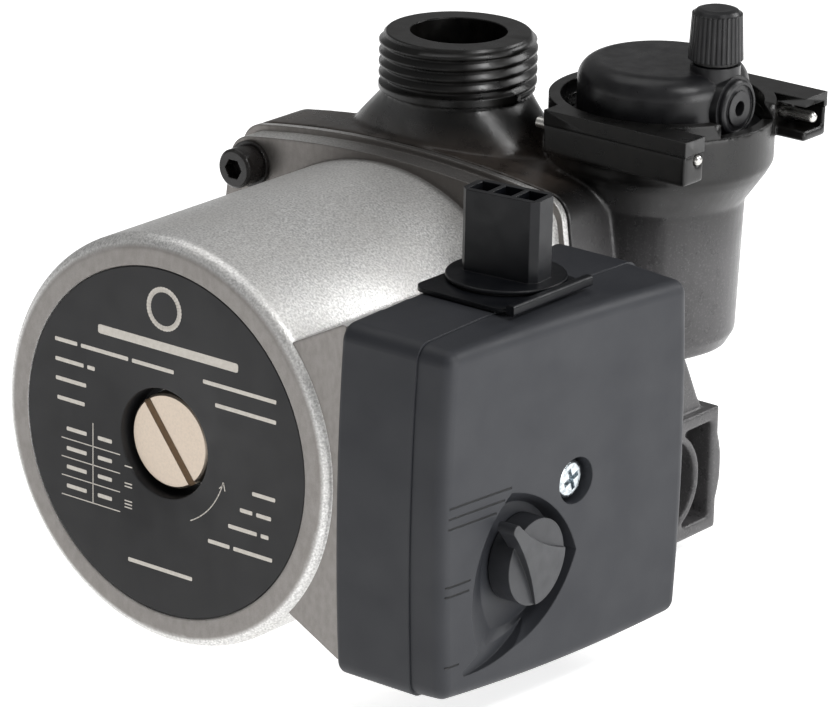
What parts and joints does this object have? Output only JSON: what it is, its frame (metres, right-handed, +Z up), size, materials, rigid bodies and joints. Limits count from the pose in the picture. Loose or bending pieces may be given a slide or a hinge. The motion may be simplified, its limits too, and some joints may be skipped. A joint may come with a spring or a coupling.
{
  "type": "circulator pump",
  "caption": "Wet-rotor boiler circulator: blasted round motor, side terminal box with speed knob, black composite housing with threaded top port, framed inlet and air vent.",
  "frame": {"origin": "centre of the threaded top port's sealing face", "axes": "+Z up along the top port's bore, -Y towards the motor's name plate along the motor axis, +X towards the terminal box"},
  "size_m": [0.1231, 0.1355, 0.1232],
  "materials": {
    "cast_aluminium": "fine shot-blasted die casting",
    "electrical_steel": "laminated stack",
    "copper": "enamelled winding wire",
    "insulated_wire": "wire insulation",
    "stainless": "drawn stainless sheet",
    "carbon": "ground carbon",
    "ceramic": "ground ceramic",
    "impeller_plastic": "glass-filled plastic",
    "plate_black": "satin black plate with pale print",
    "nickel_brass": "nickel-plated, turned",
    "seal_rubber": "moulded rubber",
    "black_steel": "black oxide",
    "box_plastic": "fine spark-eroded moulding",
    "connector_plastic": "smooth moulding",
    "knob_plastic": "satin moulding",
    "zinc": "zinc plated",
    "board": "circuit board",
    "internal_plastic": "natural moulding",
    "capacitor_case": "moulded case",
    "glass_filled_black": "glass-fibre filled moulding, mottled",
    "vent_plastic": "satin moulding"
  },
  "bodies": {
    "pump_body": {"stator_housing": "cast_aluminium", "stator_core": "electrical_steel", "stator_windings": "copper", "motor_leads": "insulated_wire", "capacitor_leads": "insulated_wire", "rotor_can": "stainless", "bearing_plate": "stainless", "neck_ring": "stainless", "retaining_pins": "stainless", "lever_pin": "stainless", "front_bearing": "carbon", "rear_bearing": "carbon", "name_plate": "plate_black", "housing_gasket": "seal_rubber", "box_gasket": "seal_rubber", "connector_seal": "seal_rubber", "vent_head_oring": "seal_rubber", "housing_bolts": "black_steel", "bolt_washers": "black_steel", "terminal_box_base": "box_plastic", "terminal_box_cover": "box_plastic", "connector_plate": "connector_plastic", "connector_latch": "connector_plastic", "connector_tower": "connector_plastic", "cover_screw": "zinc", "box_screws": "zinc", "contact_pins": "zinc", "terminal_board": "board", "board_posts": "internal_plastic", "speed_switch": "internal_plastic", "capacitor": "capacitor_case", "pump_housing": "glass_filled_black", "vent_head": "vent_plastic", "valve_plug": "vent_plastic"},
    "rotor_assembly": {"shaft": "ceramic", "rotor": "electrical_steel", "thrust_bearing": "carbon", "impeller": "impeller_plastic"},
    "vent_screw_seal": {"vent_screw_oring": "seal_rubber"},
    "vent_screw": {"vent_screw": "nickel_brass"},
    "speed_selector": {"speed_knob": "knob_plastic", "switch_rotor": "internal_plastic"},
    "vent_cap_seal": {"vent_cap_washer": "seal_rubber"},
    "vent_cap": {"vent_cap": "vent_plastic"},
    "float": {"float_body": "internal_plastic", "float_stem": "impeller_plastic"},
    "float_lever": {"float_lever": "impeller_plastic"}
  },
  "joints": [
    {"name": "rotor_spin", "type": "hinge", "parent": "pump_body", "child": "rotor_assembly", "pos_m": [0, -0.043, -0.066], "axis": [0, 1, 0], "continuous": true},
    {"name": "vent_screw_travel", "type": "slide", "parent": "pump_body", "child": "vent_screw_seal", "axis": [0, -1, 0], "range_m": [0, 0.0045]},
    {"name": "vent_screw_turn", "type": "hinge", "parent": "vent_screw_seal", "child": "vent_screw", "pos_m": [0, -0.093, -0.066], "axis": [0, -1, 0], "range_deg": [0, 1100]},
    {"name": "speed_select", "type": "hinge", "parent": "pump_body", "child": "speed_selector", "pos_m": [0.07, -0.0687, -0.0788], "axis": [1, 0, 0], "range_deg": [0, 90]},
    {"name": "vent_cap_travel", "type": "slide", "parent": "pump_body", "child": "vent_cap_seal", "axis": [0, 0, 1], "range_m": [0, 0.003]},
    {"name": "vent_cap_turn", "type": "hinge", "parent": "vent_cap_seal", "child": "vent_cap", "pos_m": [0.0547, 0.015, 0], "axis": [0, 0, 1], "range_deg": [0, 900]},
    {"name": "float_rise", "type": "slide", "parent": "pump_body", "child": "float", "axis": [0, 0, 1], "range_m": [0, 0.003]},
    {"name": "float_lever_tilt", "type": "hinge", "parent": "pump_body", "child": "float_lever", "pos_m": [0.0502, 0.015, -0.0102], "axis": [0, 1, 0], "range_deg": [0, 23]}
  ],
  "couplings": [
    {"joint": "vent_screw_turn", "follows": "vent_screw_travel", "rad_per_m": 4188.8},
    {"joint": "vent_cap_turn", "follows": "vent_cap_travel", "rad_per_m": 5026.5},
    {"joint": "float_lever_tilt", "follows": "float_rise", "rad_per_m": 130}
  ]
}
